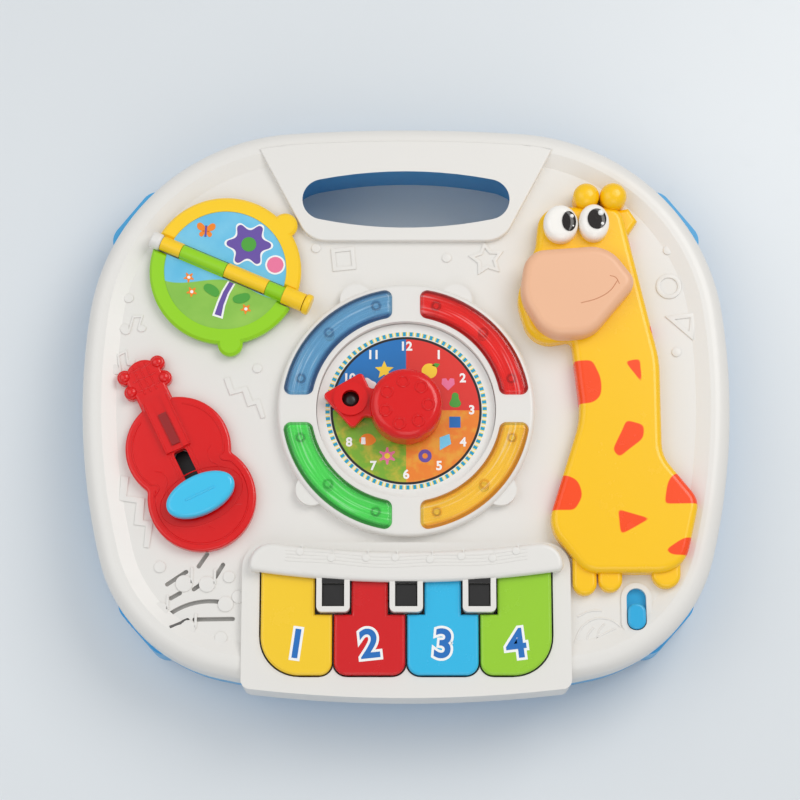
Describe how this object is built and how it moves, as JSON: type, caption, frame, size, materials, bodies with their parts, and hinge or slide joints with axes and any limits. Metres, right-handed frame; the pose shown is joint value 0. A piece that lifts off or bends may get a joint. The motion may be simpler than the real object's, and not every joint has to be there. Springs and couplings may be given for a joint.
{
  "type": "musical activity table",
  "caption": "Baby's musical play table top with a carrying handle, piano keys, turning clock hand, picture pages, sliding violin bow and a giraffe, with four leg sockets.",
  "frame": {"origin": "middle of the underside", "axes": "+Z out of the play surface, +Y towards the carrying handle, +X to the giraffe's side"},
  "size_m": [0.363, 0.329, 0.077],
  "materials": {
    "white_shell": "satin",
    "blue_tub": "satin",
    "yellow_plastic": "glossy",
    "red_plastic": "glossy",
    "cyan_plastic": "glossy",
    "green_plastic": "glossy",
    "peach_plastic": "satin",
    "black_plastic": "satin",
    "eye_white": "glossy",
    "lens_red": "clear tinted",
    "lens_blue": "clear tinted",
    "lens_green": "clear tinted",
    "lens_yellow": "clear tinted",
    "led_clear": "clear",
    "printed_card": "printed",
    "steel": "plated",
    "circuit_board": "satin",
    "grey_rubber": "matt",
    "black_paper": "matt",
    "battery_wrap": "wrapped",
    "grey_plastic": "satin"
  },
  "bodies": {
    "table": {"top_shell": "white_shell", "bottom_shell": "blue_tub", "leg_socket_back_right": "blue_tub", "leg_socket_back_left": "blue_tub", "leg_socket_front_right": "blue_tub", "leg_socket_front_left": "blue_tub", "case_screws": "steel", "battery_door": "blue_tub", "battery_door_screw": "steel", "batteries": "battery_wrap", "battery_contacts": "steel", "main_board": "circuit_board", "key_tray": "white_shell", "tray_screws": "steel", "key_board": "circuit_board", "key_hinge_rod": "steel", "key_dome_1": "grey_rubber", "key_dome_2": "grey_rubber", "key_dome_3": "grey_rubber", "key_dome_4": "grey_rubber", "key_hood": "white_shell", "sharp_inserts": "black_plastic", "clock_bezel": "white_shell", "lens_red": "lens_red", "lens_blue": "lens_blue", "lens_green": "lens_green", "lens_yellow": "lens_yellow", "lens_screws": "steel", "lens_leds": "led_clear", "dial_board": "circuit_board", "dial_plate": "printed_card", "book_base": "white_shell", "book_pin": "steel", "violin_body": "red_plastic", "slider_board": "circuit_board", "giraffe_body": "yellow_plastic", "figure_screws": "steel", "giraffe_muzzle": "peach_plastic", "giraffe_eyes": "eye_white", "giraffe_pupils": "black_plastic", "switch_body": "grey_plastic", "speaker_frame": "steel", "speaker_cone": "black_paper"},
    "key_1": {"key_1": "yellow_plastic"},
    "key_2": {"key_2": "red_plastic"},
    "key_3": {"key_3": "cyan_plastic"},
    "key_4": {"key_4": "green_plastic"},
    "page_upper": {"page_upper": "yellow_plastic", "page_picture_upper": "printed_card"},
    "page_lower": {"page_lower": "green_plastic", "page_picture_lower": "printed_card"},
    "clock_hand": {"clock_hand": "red_plastic", "knob_washer": "steel", "knob_screw": "steel"},
    "violin_slider": {"violin_slider": "cyan_plastic", "slider_carriage": "grey_plastic"},
    "power_switch_knob": {"power_switch_knob": "cyan_plastic"}
  },
  "joints": [
    {"name": "key_1_press", "type": "hinge", "parent": "table", "child": "key_1", "pos_m": [-0.05985, -0.0905, 0.056], "axis": [1, 0, 0], "range_deg": [0, 4], "stiffness_Nm_per_rad": 1.5, "springref_deg": -1.72, "deforming": ["key_dome_1"]},
    {"name": "key_2_press", "type": "hinge", "parent": "table", "child": "key_2", "pos_m": [-0.01995, -0.0905, 0.056], "axis": [1, 0, 0], "range_deg": [0, 4], "stiffness_Nm_per_rad": 1.5, "springref_deg": -1.72, "deforming": ["key_dome_2"]},
    {"name": "key_3_press", "type": "hinge", "parent": "table", "child": "key_3", "pos_m": [0.01995, -0.0905, 0.056], "axis": [1, 0, 0], "range_deg": [0, 4], "stiffness_Nm_per_rad": 1.5, "springref_deg": -1.72, "deforming": ["key_dome_3"]},
    {"name": "key_4_press", "type": "hinge", "parent": "table", "child": "key_4", "pos_m": [0.05985, -0.0905, 0.056], "axis": [1, 0, 0], "range_deg": [0, 4], "stiffness_Nm_per_rad": 1.5, "springref_deg": -1.72, "deforming": ["key_dome_4"]},
    {"name": "page_upper_turn", "type": "hinge", "parent": "table", "child": "page_upper", "pos_m": [-0.1018, 0.077, 0.0618], "axis": [0.9171, -0.3987, 0], "range_deg": [0, 180]},
    {"name": "page_lower_turn", "type": "hinge", "parent": "table", "child": "page_lower", "pos_m": [-0.1018, 0.077, 0.0618], "axis": [-0.9171, 0.3987, 0], "range_deg": [0, 180]},
    {"name": "clock_hand_spin", "type": "hinge", "parent": "table", "child": "clock_hand", "pos_m": [0, -0.003, 0.059], "axis": [0, 0, 1], "continuous": true},
    {"name": "violin_slider_slide", "type": "slide", "parent": "table", "child": "violin_slider", "axis": [-0.4384, 0.8988, 0], "range_m": [0, 0.024]},
    {"name": "power_switch_slide", "type": "slide", "parent": "table", "child": "power_switch_knob", "axis": [0, 1, 0], "range_m": [0, 0.008]}
  ]
}
